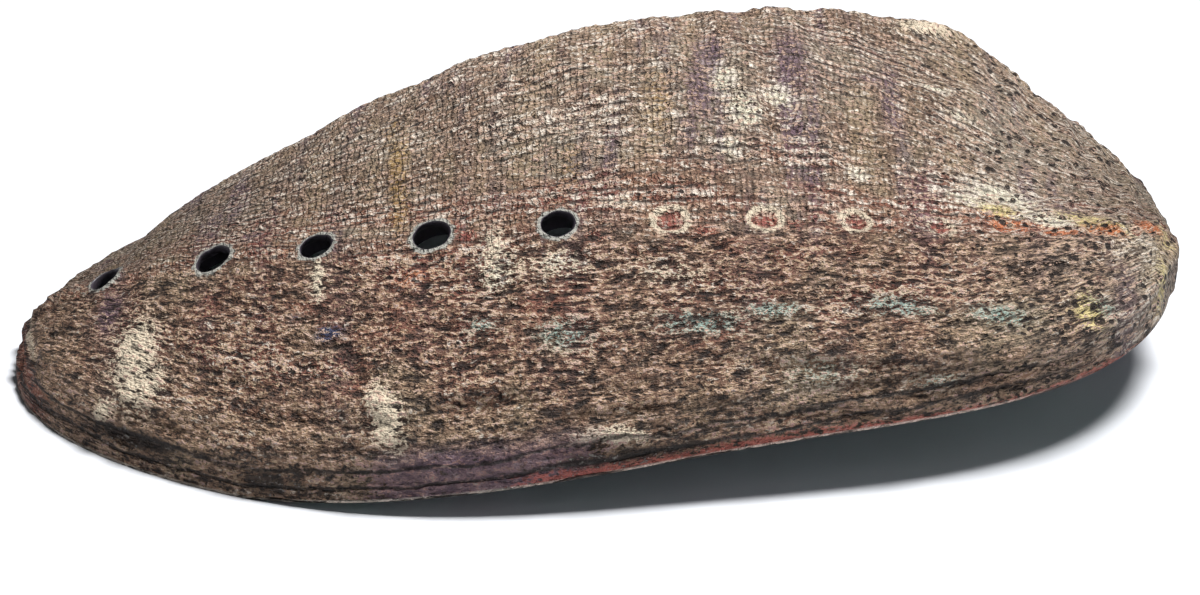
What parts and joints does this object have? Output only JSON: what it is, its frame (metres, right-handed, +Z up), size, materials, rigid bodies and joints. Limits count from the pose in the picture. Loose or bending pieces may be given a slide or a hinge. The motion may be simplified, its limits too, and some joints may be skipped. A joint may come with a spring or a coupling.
{
  "type": "abalone shell",
  "caption": "Ear-shaped abalone shell with fine spiral cords, a row of raised breathing holes and a hollow underside",
  "frame": {"origin": "middle of the shell's bounding box, on the surface that it rests on", "axes": "+X along the shell to the spire end, +Y to the outer lip, away from the hole row, +Z up; the opening faces down"},
  "size_m": [0.1609, 0.1214, 0.0426],
  "materials": {
    "weathered_shell": "matt, chalky and pitted outside, satin nacre inside"
  },
  "bodies": {
    "root": {"shell": "weathered_shell"}
  },
  "joints": []
}
